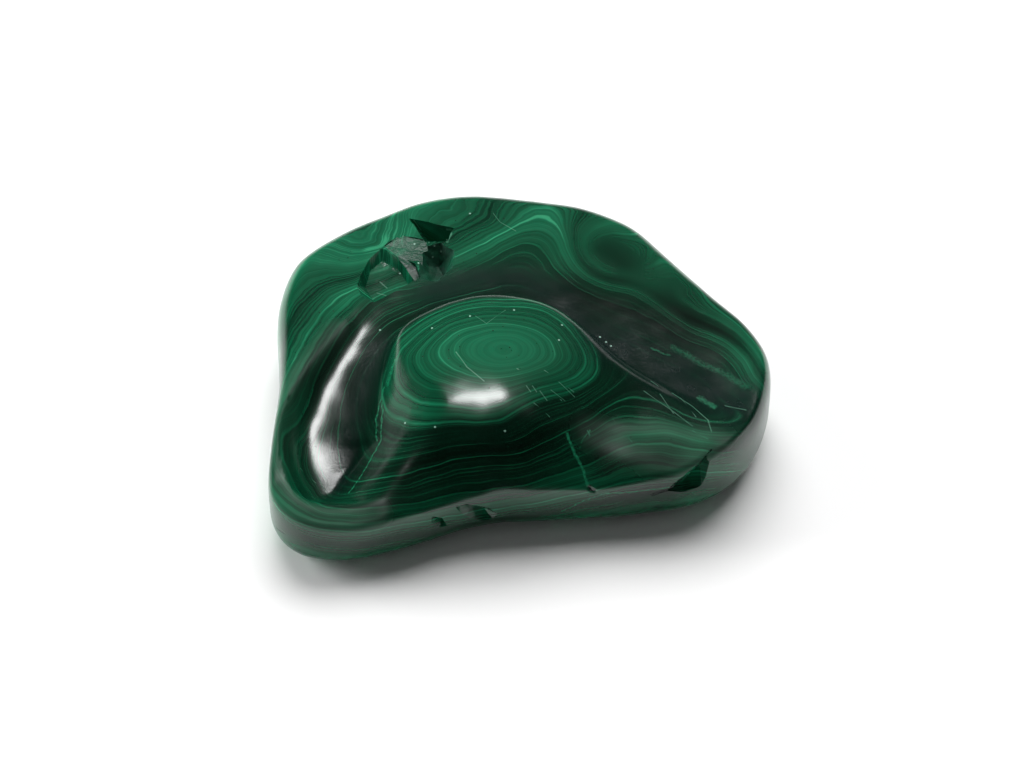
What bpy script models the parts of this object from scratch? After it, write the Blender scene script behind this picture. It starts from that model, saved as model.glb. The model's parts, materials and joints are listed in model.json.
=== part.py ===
import math

import bmesh
import bpy
import numpy as np

# A polished malachite freeform: a tumbled slab with a rounded hill on it, a groove and a
# hollow ground round the hill, a broken pit at the back left and three chips in its wall.
# x runs to the right of the view, y away from it, z up. The stone rests on its flat base.

mm = 0.001

# Driving dimensions, in millimetres
rimWidth = 5.2               # how far in the upper rounding of the edge reaches
frontWidth = 2.4             # the same along the front, where the edge is crisper
footWidth = 10.0             # how far in the lower rounding reaches, down to the flat base
rimPower = 2.45              # roundness of both: 2 is an ellipse, more is squarer
frontPower = 4.8             # roundness of the upper edge along the front
waistShare = 0.38            # height of the widest line, as a share of the edge's height
outlineBlur = 0.035          # softening of the plan outline, in radians
spotSlack = 0.5              # how freely the surfaces may pass beside their spot heights
grooveFloor = 0.014          # how the groove's floor curves up on both sides, per millimetre
hillBlend = 1.7              # rounding where the hill's side meets its top
lipBlend = 1.6               # rounding where the groove's outer wall meets the plateau
creaseBlend = 1.0            # rounding in the crease at the foot of the hill's side
columns = 106
topRings = 30
rimRings = 6
footRings = 6

# The plan outline at the widest line, in millimetres
outline = [
    (44.5, -1), (41.3, 7.5), (36.7, 13.4), (28.5, 24), (21.5, 32.3), (13.5, 36.9), (0, 39.8),
    (-11, 40.8), (-17.5, 39.6), (-28.5, 34), (-37.5, 28), (-42.5, 22.5), (-44.4, 15), (-43.6, 0),
    (-43.1, -8), (-43.8, -24), (-43.6, -30.5), (-41.2, -35.5), (-37, -38.4), (-31, -38.9),
    (-21, -36.4), (-11.5, -32.6), (-6, -31), (2, -30.2), (10.5, -29.3), (23.5, -27.8), (31, -26),
    (36, -23), (40.4, -17.5), (43.4, -10.5)]

# Heights of the top before the groove and the hollow are ground in: x, y, z in millimetres
plateau = [
    (-12, 34, 19.2), (0, 33, 19.2), (12, 31, 19), (21, 24.5, 18.6), (29, 13, 17.5), (36.5, 4.5, 16.1),
    (41, -3.5, 15.9), (42, -9.5, 15.6), (-41, -26, 13.7), (-37.5, -27, 13.2), (-40.5, -14, 15.5),
    (-41, 2, 16.5), (-39, 15.5, 17.8), (-28, 27, 19), (-32.5, 8.5, 18), (-22, 18.5, 19),
    (-9.5, 24, 19.2), (7, 22.7, 18.9), (18, 15, 18.2), (25, 6.7, 17.2), (31.5, -0.8, 15.9)]
hill = [
    (-5.5, -4, 23.2), (-5.5, 3, 23), (-6, -8, 23.3), (-7, -12, 23.2), (-7.5, -15, 22.75),
    (-7.5, -18.4, 21.9), (-14, -6, 22.8), (-19, -6, 21.6), (-14, -13, 22.6), (-19, -14, 21.2),
    (-14, -18.4, 21.4), (-19.5, -18.4, 20.6), (3, -5, 22.8), (3, -13, 22.3), (2, -18.4, 21.2),
    (9, -9, 21), (9.5, 1, 21.4), (12, -13.5, 18.8), (14, -5.2, 19.4), (18.5, -8.4, 17.2),
    (23, -10.6, 15.8), (30, -13.8, 14.6)]
frontSlope = [
    (-7.3, -21, 20.9), (-7.2, -24, 19.1), (-7, -27, 16), (-7, -30, 11.8), (-14, -22, 19.8),
    (-14, -28, 14.6), (-15, -33, 11), (-19.5, -22, 18.6), (-22.5, -28.5, 15.2), (-26, -33.5, 12.2),
    (3, -22, 19.3), (3, -27.5, 13.2), (12, -20, 15.8), (12, -26, 12.2), (20.5, -17, 14.9),
    (20, -22.3, 14.4), (20.5, -26.5, 12), (26, -22, 14.5), (26.5, -25.6, 12.5), (31, -19, 14.2),
    (31.5, -23.5, 14.5), (36.5, -20.5, 14.8), (40, -16.5, 14.7), (-32, -32.5, 11.4),
    (-29.3, -30.8, 11.9), (-36.5, -31.5, 12.4), (-41, -31, 12.6), (-37.5, -35.5, 12),
    (-31.5, -36.5, 11.2), (-27, -36, 11)]

# The groove on the left, followed from the front: x, y, height of its lowest line, and how far
# from it the floor has turned up into a wall, on the outer side and towards the hill
groove = [
    (-31.8, -35.5, 14.5, 5, 12), (-32, -32.6, 11, 5, 12), (-32.2, -30, 8.2, 5, 12),
    (-32.6, -27.9, 7.4, 5, 12), (-33.4, -25.8, 7.9, 5, 12), (-34.3, -23, 8.8, 5, 12),
    (-34.6, -18.5, 10.2, 5.2, 12), (-33, -13, 12, 5.5, 12), (-30.8, -7.5, 13.8, 5.5, 12),
    (-27.9, -2, 15.4, 5.5, 12), (-25, 3, 16.8, 5.5, 12), (-21, 8, 17.9, 5.6, 12),
    (-14, 14, 21, 6, 12)]

# The basin behind the hill and the hollow on the right; where it lies over the rest it's gone
basin = [
    (-17, 12, 17.9), (-9.5, 12, 17.8), (-1, 12, 17.7), (7, 9.5, 17.1), (13, 4.5, 16.4),
    (18, -1, 15.7), (23.5, -5, 15.1), (30, -8, 14.7), (36, -9.5, 14.5),
    (-10, 20, 18.7), (0, 20, 18.6), (10, 17, 18.1), (18, 11, 17.4), (24, 5, 16.6), (30, 1, 15.9),
    (36, -3, 15.3), (-10, 28, 20), (0, 28, 20), (13, 26, 19.8), (24, 17, 19), (30, 9, 18.2),
    (38, 2, 17), (42, -6, 17.4), (39.5, -11, 15.4), (42, -13, 17.2), (-24, 12, 19), (-30, 5, 20),
    (-36, -10, 20), (-34, -26, 20)]

# The foot of the hill's side, followed round from the front left: x, y, height, steepness above it
foot = [
    (-34.5, -40, 8.8, 0.8), (-33, -34, 8.6, 0.75), (-31.3, -29.6, 8.5, 0.7), (-29.3, -26.1, 9.4, 0.7),
    (-26.9, -22.2, 11, 0.72), (-25.4, -17.5, 12.6, 0.85), (-24.8, -12, 14.2, 1.3),
    (-24.4, -6, 15.4, 2.3), (-23, 1.0, 16.6, 2.6),
    (-17.5, 6.5, 17.4, 2.0), (-9.5, 9.8, 17.7, 2.0), (-1.0, 10.0, 17.5, 2.0), (7.5, 7.2, 16.7, 1.9),
    (13.0, 2.2, 15.8, 1.9), (18.0, -3.2, 15.0, 1.6), (23.5, -7.3, 14.4, 1.3), (30.0, -10.8, 13.8, 0.9),
    (36.5, -12.8, 13.6, 0.6), (44.0, -14.0, 14.4, 0.6)]

# Broken places, each the hull of its corners in millimetres: the part of it inside the stone is
# what broke away. The first corners lie just outside the surface, the last ones are the floor.
breaks = {
    "cup": [
        (-25.5, 24, 19.4), (-22.6, 21.2, 19.4), (-19, 15, 19), (-22.6, 12.4, 18.8), (-26.6, 9, 18.6),
        (-29.6, 11.4, 18.9), (-30.3, 13, 19), (-29.8, 15.4, 19), (-28, 20.6, 19.2),
        (-25.6, 21.4, 17.4), (-22.6, 19.4, 17.2), (-20.6, 15.6, 16.8), (-24.4, 13.2, 16.4),
        (-28.4, 15.2, 16.6), (-27.6, 19.2, 17.1), (-26.8, 12, 16)],
    "facet": [
        (-22.8, 21.2, 18.3), (-19.4, 19.4, 17.8), (-18.4, 16.4, 17), (-19.3, 14.9, 16.5),
        (-22.8, 21.2, 19.6), (-19.4, 19.4, 19.6), (-18.4, 16.4, 19.6), (-19.3, 14.9, 19.6)],
    "glass": [
        (-25.3, 24, 18.6), (-22.4, 26.7, 19), (-17.6, 25.6, 18.7), (-16.6, 20.6, 17.7), (-19.4, 19.3, 17.6),
        (-22.8, 21.1, 18.1),
        (-25.3, 24, 19.6), (-22.4, 26.7, 19.6), (-17.6, 25.6, 19.6), (-16.6, 20.6, 19.6), (-22.8, 21.1, 19.6)],
    "hollow": [
        (-18.9, 23.4, 19.2), (-14.8, 25, 19.2), (-12, 22.8, 19.2), (-12.4, 18.4, 18.9), (-15, 15, 18.6),
        (-18.9, 14.8, 18.8),
        (-17, 21.4, 16.2), (-15.2, 22, 15.4), (-14.2, 18.8, 15.8), (-16.6, 16.8, 16)],
    "notch": [
        (-21.2, 31.6, 19.7), (-16.8, 30, 19.7), (-12.2, 29, 19.7), (-13.4, 25, 19.7), (-17.8, 24.8, 19.7),
        (-14.8, 27.2, 13), (-16.8, 26.4, 13.6)],
    "wallNotch": [
        (33, -23.4, 15), (30.6, -25.8, 13.3), (28.3, -27.2, 11), (24, -28.4, 8), (27.8, -27.7, 6.9),
        (31.4, -26.6, 7.1), (32, -26, 11.5),
        (30.8, -23.6, 10.4), (28.4, -25, 8.8)],
    "frontChip": [
        (-11.4, -32.4, 9.4), (-9.4, -32, 9.8), (-5.4, -31.5, 8.2), (-2.8, -31.4, 5.6), (-4.4, -31.4, 4),
        (-6.8, -31.8, 3.8), (-9.9, -32.8, 6.4),
        (-9.2, -30.2, 7.8), (-6.6, -29.6, 6.2)],
    "smallChip": [
        (-15.4, -34.2, 9), (-13.6, -34, 8.4), (-12.2, -33.8, 4.8), (-14.2, -34.6, 5), (-15.9, -34.8, 7.6),
        (-14, -32.4, 6.8)]}

malachiteColour = (0.004, 0.075, 0.035, 1)
malachiteRoughness = 0.14


def clearScene():
    for item in list(bpy.data.objects):
        bpy.data.objects.remove(item)


def polishedMaterial():
    material = bpy.data.materials.new("polished_malachite")
    material.use_nodes = True
    shader = material.node_tree.nodes["Principled BSDF"]
    shader.inputs["Base Color"].default_value = malachiteColour
    shader.inputs["Roughness"].default_value = malachiteRoughness
    shader.inputs["Metallic"].default_value = 0.0
    return material


def outlineRadius(count):
    """The outline's radius at evenly spaced angles: a closed cubic through the points' radii,
    softened by fading its high Fourier terms."""
    points = np.array(outline, float)
    angle = np.arctan2(points[:, 1], points[:, 0])
    order = np.argsort(angle)
    angle = angle[order]
    radius = np.hypot(points[:, 0], points[:, 1])[order]
    knots = np.concatenate([angle - 2 * math.pi, angle, angle + 2 * math.pi])
    values = np.tile(radius, 3)
    slopes = np.gradient(values, knots)
    at = np.linspace(-math.pi, math.pi, count, endpoint=False)
    i = np.searchsorted(knots, at, side="right") - 1
    width = knots[i + 1] - knots[i]
    u = (at - knots[i]) / width
    curve = hermite(values[i], values[i + 1], slopes[i] * width, slopes[i + 1] * width, u)
    waves = np.fft.rfft(curve)
    order = np.arange(len(waves))
    return at, np.fft.irfft(waves * np.exp(-0.5 * (order * outlineBlur) ** 2), count)


def hermite(start, end, startSlope, endSlope, u):
    return ((1 + 2 * u) * (1 - u) ** 2 * start + u * (1 - u) ** 2 * startSlope
            + u * u * (3 - 2 * u) * end + u * u * (u - 1) * endSlope)


def plateThrough(spots):
    """The thin plate that passes close by the spot heights, as a function of plan points."""
    spots = np.array(spots, float)
    places = spots[:, :2]
    count = len(places)

    def bend(squared):
        return squared * np.log(squared + 1e-9)

    between = ((places[:, None] - places[None]) ** 2).sum(2)
    system = np.zeros((count + 3, count + 3))
    system[:count, :count] = bend(between) + spotSlack * np.eye(count)
    system[:count, count] = 1
    system[:count, count + 1:] = places
    system[count:, :count] = system[:count, count:].T
    weights = np.linalg.solve(system, np.concatenate([spots[:, 2], np.zeros(3)]))

    def height(plan):
        apart = ((plan[:, None] - places[None]) ** 2).sum(2)
        return bend(apart) @ weights[:count] + weights[count] + plan @ weights[count + 1:]

    return height


def smoothRows(rows, count):
    """A smooth curve through the rows, column by column, over the length of its plan."""
    rows = np.array(rows, float)
    steps = np.hypot(*np.diff(rows[:, :2], axis=0).T)
    along = np.concatenate([[0], np.cumsum(steps)])
    slopes = np.gradient(rows, along, axis=0)
    at = np.linspace(0, along[-1], count)
    i = np.clip(np.searchsorted(along, at, side="right") - 1, 0, len(along) - 2)
    width = (along[i + 1] - along[i])[:, None]
    u = (at - along[i])[:, None] / width
    return hermite(rows[i], rows[i + 1], slopes[i] * width, slopes[i + 1] * width, u)


def nearestOnLine(plan, line):
    """Distance to the line, positive on its right, and the line's other columns there."""
    start = line[:-1]
    step = line[1:, :2] - start[:, :2]
    offset = plan[:, None] - start[None, :, :2]
    share = np.clip((offset * step).sum(2) / (step * step).sum(1), 0, 1)
    squared = ((offset - share[..., None] * step) ** 2).sum(2)
    k = squared.argmin(1)
    i = np.arange(len(plan))
    side = step[k, 1] * offset[i, k, 0] - step[k, 0] * offset[i, k, 1]
    rest = start[k, 2:] + share[i, k][:, None] * (line[k + 1, 2:] - start[k, 2:])
    return np.sqrt(squared[i, k]) * np.sign(side), rest.T


def softMin(a, b, blend):
    share = np.clip(0.5 + 0.5 * (b - a) / blend, 0, 1)
    return b + (a - b) * share - blend * share * (1 - share)


def topSurface():
    ground, hollow = plateThrough(plateau + hill + frontSlope), plateThrough(basin)
    footLine, grooveLine = smoothRows(foot, 320), smoothRows(groove, 320)

    def height(x, y):
        """The lower of the ground and the cut. The cut is the higher of the floor and the hill's
        side, a slope rising from the hill's foot; the floor is the lower of the hollow and the
        groove, whose section is lowest + floor a^2 + (a / reach)^4 at a beside its lowest line."""
        plan = np.stack([np.ravel(x), np.ravel(y)], 1)
        a, (lowest, outer, inner) = nearestOnLine(plan, grooveLine)
        section = lowest + grooveFloor * a ** 2 + (a / np.where(a > 0, inner, outer)) ** 4
        floor = softMin(section, hollow(plan), hillBlend)
        side, (rise, steep) = nearestOnLine(plan, footLine)
        cut = -softMin(-floor, -rise - steep * side, creaseBlend)
        blend = lipBlend + (hillBlend - lipBlend) * np.clip(0.5 + side / 8, 0, 1)
        return softMin(ground(plan), cut, blend).reshape(np.shape(x))

    return height


def ringPoints():
    """Rings of points from the middle of the top, over the edge and in under the foot."""
    turn, radius = outlineRadius(4096)
    slope = np.gradient(radius, turn)
    angle = np.linspace(-math.pi, math.pi, columns, endpoint=False)
    reach = np.interp(angle, turn, radius)
    lean = np.hypot(1, np.interp(angle, turn, slope) / reach)
    facing = np.clip(0.5 - 0.75 * np.sin(angle), 0, 1)
    facing = facing ** 2 * (3 - 2 * facing)     # 1 along the front, 0 at the back
    rim = (rimWidth + (frontWidth - rimWidth) * facing) * lean
    under = footWidth * lean
    height = topSurface()

    def topAt(r):
        return height(r * np.cos(angle), r * np.sin(angle))

    waist = waistShare * topAt(reach - rim)
    shoulder = 2 / (rimPower + (frontPower - rimPower) * facing)
    exponent = 2 / rimPower
    rings = []
    for share in np.linspace(0, 1, topRings + 1)[1:]:
        r = (reach - rim) * share
        rings.append((r, topAt(r)))
    for turned in np.linspace(0, math.pi / 2, rimRings + 1)[1:]:
        r = reach - rim * (1 - math.sin(turned) ** shoulder)
        rings.append((r, waist + (topAt(r) - waist) * max(math.cos(turned), 0) ** shoulder))
    for turned in np.linspace(0, math.pi / 2, footRings + 1)[1:]:
        r = reach - under * (1 - max(math.cos(turned), 0) ** exponent)
        rings.append((r, waist * (1 - math.sin(turned) ** exponent)))
    points = np.array([np.stack([r * np.cos(angle), r * np.sin(angle), z], 1) for r, z in rings])
    centre = np.array([0, 0, height(np.zeros(1), np.zeros(1))[0]])
    return points * mm, centre * mm


def boxMiddle(points):
    middle = (points.reshape(-1, 3).max(0) + points.reshape(-1, 3).min(0)) / 2
    middle[2] = 0
    return middle


def stoneBody(points, centre):
    """Quads from each ring to the next, closed by a fan on top and one flat face beneath."""
    bm = bmesh.new()
    rings = [[bm.verts.new(p) for p in ring] for ring in points]
    for inner, outer in zip(rings, rings[1:]):
        for i in range(columns):
            bm.faces.new((inner[i - 1], outer[i - 1], outer[i], inner[i]))
    top = bm.verts.new(centre)
    for i in range(columns):
        bm.faces.new((rings[0][i - 1], rings[0][i], top))
    bm.faces.new(rings[-1])
    bmesh.ops.recalc_face_normals(bm, faces=bm.faces)
    mesh = bpy.data.meshes.new("malachite_freeform")
    bm.to_mesh(mesh)
    bm.free()
    stone = bpy.data.objects.new("malachite_freeform", mesh)
    bpy.context.scene.collection.objects.link(stone)
    return stone


def breakCutter(name, corners, middle):
    bm = bmesh.new()
    for corner in corners:
        bm.verts.new([c * mm - m for c, m in zip(corner, middle)])
    hull = bmesh.ops.convex_hull(bm, input=bm.verts)
    inside = [v for v in hull["geom_interior"] if isinstance(v, bmesh.types.BMVert)]
    bmesh.ops.delete(bm, geom=inside, context="VERTS")
    bmesh.ops.recalc_face_normals(bm, faces=bm.faces)
    mesh = bpy.data.meshes.new(name)
    bm.to_mesh(mesh)
    bm.free()
    cutter = bpy.data.objects.new(name, mesh)
    cutter.hide_render = True
    cutter.display_type = "WIRE"
    bpy.context.scene.collection.objects.link(cutter)
    return cutter


def main():
    clearScene()
    points, centre = ringPoints()
    middle = boxMiddle(points)
    stone = stoneBody(points - middle, centre - middle)
    for name, corners in breaks.items():
        cut = stone.modifiers.new(name, "BOOLEAN")
        cut.operation = "DIFFERENCE"
        cut.solver = "EXACT"
        cut.object = breakCutter(name, corners, middle)
    stone.data.materials.append(polishedMaterial())
    stone.data.shade_smooth()
    stone.data.set_sharp_from_angle(angle=math.radians(50))


main()
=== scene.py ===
import json
import math
import bmesh
import bpy
import numpy as np
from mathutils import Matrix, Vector
from mathutils.bvhtree import BVHTree

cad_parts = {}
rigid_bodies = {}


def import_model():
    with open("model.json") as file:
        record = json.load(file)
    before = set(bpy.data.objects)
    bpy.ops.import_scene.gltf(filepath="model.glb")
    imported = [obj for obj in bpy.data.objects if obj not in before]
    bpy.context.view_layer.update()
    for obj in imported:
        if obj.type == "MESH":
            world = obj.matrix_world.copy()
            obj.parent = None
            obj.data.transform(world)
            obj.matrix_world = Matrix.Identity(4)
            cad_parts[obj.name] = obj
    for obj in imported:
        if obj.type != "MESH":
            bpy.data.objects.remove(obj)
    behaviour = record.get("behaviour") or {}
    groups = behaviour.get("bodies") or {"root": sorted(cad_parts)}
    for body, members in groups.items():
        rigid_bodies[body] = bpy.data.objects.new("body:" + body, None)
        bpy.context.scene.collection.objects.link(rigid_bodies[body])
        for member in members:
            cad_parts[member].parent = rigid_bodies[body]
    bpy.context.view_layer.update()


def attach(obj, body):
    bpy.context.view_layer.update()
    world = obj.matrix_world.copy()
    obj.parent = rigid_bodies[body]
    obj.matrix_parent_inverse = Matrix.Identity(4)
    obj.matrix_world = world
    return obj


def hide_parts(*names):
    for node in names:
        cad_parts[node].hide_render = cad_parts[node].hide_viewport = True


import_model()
mm = 0.001
rng = np.random.default_rng(7)

# Sizes below are in millimetres in the stone's own plan, and become metres about its middle.

view = {
    "target": (-1.7, -3.1, 10.0),   # the point at the picture's middle, in the stone's plan
    "elevation": 45.0,              # degrees above the table
    "lens": 95.0,
    "sensor": 36.0,
    "width": 1024,                  # the picture's frame in pixels
    "height": 768,
    "pixelsPerMm": 5.58,            # at the target
}

stoneShape = {
    "columns": 560,
    "topRows": 100,
    "rimRows": 26,
    "footRows": 22,
    "baseRows": 10,
    "rimWidth": 5.2,
    "frontWidth": 2.4,
    "footWidth": 10.0,
    "rimPower": 2.45,
    "frontPower": 4.8,      # squarer along the front, where wall and slope meet in a clear edge
    "waistShare": 0.38,
    "outlineBlur": 0.035,
    "hillBlend": 2.8,       # rounding where the hill's side meets its top
    "lipBlend": 1.6,        # where the groove's wall meets the plateau
    "creaseBlend": 1.0,     # and at the foot of the hill's side
    "outline": [
        (44.5, -1), (41.3, 7.5), (36.7, 13.4), (28.5, 24), (21.5, 32.3), (13.5, 36.9), (0, 39.8),
        (-11, 40.8), (-17.5, 39.6), (-28.5, 34), (-37.5, 28), (-42.5, 22.5), (-44.4, 15), (-43.6, 0),
        (-43.1, -8), (-43.8, -24), (-43.6, -30.5), (-41.2, -35.5), (-37, -38.4), (-31, -38.9),
        (-21, -36.4), (-11.5, -32.6), (-6, -31), (2, -30.2), (10.5, -29.3), (23.5, -27.8), (31, -26),
        (36, -23), (40.4, -17.5), (43.4, -10.5)],
    "plateau": [
        (-12, 34, 19.2), (0, 33, 19.2), (12, 31, 19), (21, 24.5, 18.6), (29, 13, 17.5), (36.5, 4.5, 16.1),
        (41, -3.5, 15.9), (42, -9.5, 15.6), (-41, -26, 13.7), (-37.5, -27, 13.2), (-40.5, -14, 15.5),
        (-41, 2, 16.5), (-39, 15.5, 17.8), (-28, 27, 19), (-32.5, 8.5, 18), (-22, 18.5, 19),
        (-9.5, 24, 19.2), (7, 22.7, 18.9), (18, 15, 18.2), (25, 6.7, 17.2), (31.5, -0.8, 15.9)],
    "hill": [
        (-5.5, -4, 23.2), (-5.5, 3, 23), (-6, -8, 23.3), (-7, -12, 23.2), (-7.5, -15, 22.75),
        (-7.5, -18.4, 21.9), (-14, -6, 22.8), (-19, -6, 21.6), (-14, -13, 22.6), (-19, -14, 21.2),
        (-14, -18.4, 21.4), (-19.5, -18.4, 20.6), (3, -5, 22.8), (3, -13, 22.3), (2, -18.4, 21.2),
        (9, -9, 21), (9.5, 1, 21.4), (12, -13.5, 18.8), (14, -5.2, 19.4), (18.5, -8.4, 17.2),
        (23, -10.6, 15.8), (30, -13.8, 14.6)],
    "frontSlope": [
        (-7.3, -21, 20.9), (-7.2, -24, 19.1), (-7, -27, 16), (-7, -30, 11.8), (-14, -22, 19.8),
        (-14, -28, 14.6), (-15, -33, 11), (-19.5, -22, 18.6), (-22.5, -28.5, 15.2), (-26, -33.5, 12.2),
        (3, -22, 19.3), (3, -27.5, 13.2), (12, -20, 15.8), (12, -26, 12.2), (20.5, -17, 14.9),
        (20, -22.3, 14.4), (20.5, -26.5, 12), (26, -22, 14.5), (26.5, -25.6, 12.5), (31, -19, 14.2),
        (31.5, -23.5, 14.5), (36.5, -20.5, 14.8), (40, -16.5, 14.7), (-32, -32.5, 11.4),
        (-29.3, -30.8, 11.9), (-36.5, -31.5, 12.4), (-41, -31, 12.6), (-37.5, -35.5, 12),
        (-31.5, -36.5, 11.2), (-27, -36, 11)],
    # the groove on the left, followed from the front: x, y, height of its lowest line, and how far
    # from it the floor has turned up into a wall, on the outer side and towards the hill
    "groove": [
        (-31.8, -35.5, 14.5, 5, 12), (-32, -32.6, 11, 5, 12), (-32.2, -30, 8.2, 5, 12),
        (-32.6, -27.9, 7.4, 5, 12), (-33.4, -25.8, 7.9, 5, 12), (-34.3, -23, 8.8, 5, 12),
        (-34.6, -18.5, 10.2, 5.2, 12), (-33, -13, 12, 5.5, 12), (-30.8, -7.5, 13.8, 5.5, 12),
        (-27.9, -2, 15.4, 5.5, 12), (-25, 3, 16.8, 5.5, 12), (-21, 8, 17.9, 5.6, 12),
        (-14, 14, 21, 6, 12)],
    "grooveFloor": 0.014,   # how its floor curves up on both sides
    # the basin behind the hill and the hollow on the right; where it lies over the rest it's gone
    "basin": [
        (-17, 12, 17.9), (-9.5, 12, 17.8), (-1, 12, 17.7), (7, 9.5, 17.1), (13, 4.5, 16.4),
        (18, -1, 15.7), (23.5, -5, 15.1), (30, -8, 14.7), (36, -9.5, 14.5),
        (-10, 20, 18.7), (0, 20, 18.6), (10, 17, 18.1), (18, 11, 17.4), (24, 5, 16.6), (30, 1, 15.9),
        (36, -3, 15.3), (-10, 28, 20), (0, 28, 20), (13, 26, 19.8), (24, 17, 19), (30, 9, 18.2),
        (38, 2, 17), (42, -6, 17.4), (39.5, -11, 15.4), (42, -13, 17.2), (-24, 12, 19), (-30, 5, 20),
        (-36, -10, 20), (-34, -26, 20)],
    # the foot of the hill's side, followed round from the front left: x, y, height, steepness above it
    "foot": [
        (-34.5, -40, 8.8, 0.8), (-33, -34, 8.6, 0.75), (-31.3, -29.6, 8.5, 0.7), (-29.3, -26.1, 9.4, 0.7),
        (-26.9, -22.2, 11, 0.72), (-25.4, -17.5, 12.6, 0.85), (-24.8, -12, 14.2, 1.3),
        (-24.4, -6, 15.4, 2.3), (-23, 1.0, 16.6, 2.6),
        (-17.5, 6.5, 17.4, 2.0), (-9.5, 9.8, 17.7, 2.0), (-1.0, 10.0, 17.5, 2.0), (7.5, 7.2, 16.7, 1.9),
        (13.0, 2.2, 15.8, 1.9), (18.0, -3.2, 15.0, 1.6), (23.5, -7.3, 14.4, 1.3), (30.0, -10.8, 13.8, 0.9),
        (36.5, -12.8, 13.6, 0.6), (44.0, -14.0, 14.4, 0.6)],
    "waves": [(0.03, 9.0), (0.015, 4.0)],   # hand polishing: height and length of its waves
}


def hermite(start, end, startSlope, endSlope, u):
    # cubic between two values with given slopes at its ends
    return ((1 + 2 * u) * (1 - u) ** 2 * start + u * (1 - u) ** 2 * startSlope
            + u * u * (3 - 2 * u) * end + u * u * (u - 1) * endSlope)


def outlineRadius(points, blur, count=4096):
    # closed cubic through the outline's radii over the angle, its fast Fourier terms faded out
    points = np.array(points, float)
    angle = np.arctan2(points[:, 1], points[:, 0])
    order = np.argsort(angle)
    angle = angle[order]
    knots = np.concatenate([angle - 2 * np.pi, angle, angle + 2 * np.pi])
    values = np.tile(np.hypot(points[:, 0], points[:, 1])[order], 3)
    slopes = np.gradient(values, knots)
    at = np.linspace(-np.pi, np.pi, count, endpoint=False)
    i = np.searchsorted(knots, at, side="right") - 1
    width = knots[i + 1] - knots[i]
    share = (at - knots[i]) / width
    curve = hermite(values[i], values[i + 1], slopes[i] * width, slopes[i + 1] * width, share)
    waves = np.fft.rfft(curve)
    return at, np.fft.irfft(waves * np.exp(-0.5 * (np.arange(len(waves)) * blur) ** 2), count)


def smoothThrough(places, values, slack=0.0):
    # smoothest field through the values: a sum of r^2 log r (in a plan) or r (in space) round each
    # place, plus a tilted plane, with the weights solved for; slack lets it miss them a little
    places = np.array(places, float)
    count, dimensions = places.shape

    def bend(squared):
        return squared * np.log(squared + 1e-9) if dimensions == 2 else np.sqrt(squared)

    system = np.zeros((count + dimensions + 1,) * 2)
    system[:count, :count] = bend(((places[:, None] - places[None]) ** 2).sum(2)) + slack * np.eye(count)
    system[:count, count] = 1
    system[:count, count + 1:] = places
    system[count:, :count] = system[:count, count:].T
    weights = np.linalg.solve(system, np.concatenate([np.array(values, float), np.zeros(dimensions + 1)]))

    def field(points):
        parts = []
        for part in np.array_split(points, max(1, len(points) // 4000)):
            near = bend(((part[:, None] - places[None]) ** 2).sum(2))
            parts.append(near @ weights[:count] + weights[count] + part @ weights[count + 1:])
        return np.concatenate(parts)

    return field


def smoothRows(rows, count):
    # cubic curve through the rows, column by column, over the length of its plan
    rows = np.array(rows, float)
    along = np.concatenate([[0], np.cumsum(np.hypot(*np.diff(rows[:, :2], axis=0).T))])
    slopes = np.gradient(rows, along, axis=0)
    at = np.linspace(0, along[-1], count)
    i = np.clip(np.searchsorted(along, at, side="right") - 1, 0, len(along) - 2)
    width = (along[i + 1] - along[i])[:, None]
    share = (at - along[i])[:, None] / width
    return hermite(rows[i], rows[i + 1], slopes[i] * width, slopes[i + 1] * width, share)


def nearestOnLine(plan, line):
    # signed distance to a polyline, positive on its right, and the line's other columns there
    start = line[:-1]
    step = line[1:, :2] - start[:, :2]
    signed, rest = [], []
    for part in np.array_split(plan, max(1, len(plan) // 4000)):
        offset = part[:, None] - start[None, :, :2]
        share = np.clip((offset * step).sum(2) / (step * step).sum(1), 0, 1)
        squared = ((offset - share[..., None] * step) ** 2).sum(2)
        k = squared.argmin(1)
        i = np.arange(len(part))
        side = step[k, 1] * offset[i, k, 0] - step[k, 0] * offset[i, k, 1]
        signed.append(np.sqrt(squared[i, k]) * np.sign(side))
        rest.append(start[k, 2:] + share[i, k][:, None] * (line[k + 1, 2:] - start[k, 2:]))
    return np.concatenate(signed), np.concatenate(rest).T


def softMin(a, b, blend):
    # the lower of two heights, rounded over the blend where they cross
    share = np.clip(0.5 + 0.5 * (b - a) / blend, 0, 1)
    return b + (a - b) * share - blend * share * (1 - share)


def ripple(points, length, waves=14):
    # even, smooth noise from -1 to 1: sine waves of one length in random directions, added up
    directions = rng.normal(size=(waves, 3))
    directions *= 2 * np.pi / length / np.linalg.norm(directions, axis=1)[:, None]
    phases = rng.uniform(0, 2 * np.pi, waves)
    return np.sin(points @ directions.T + phases).sum(1) / math.sqrt(waves)


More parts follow.
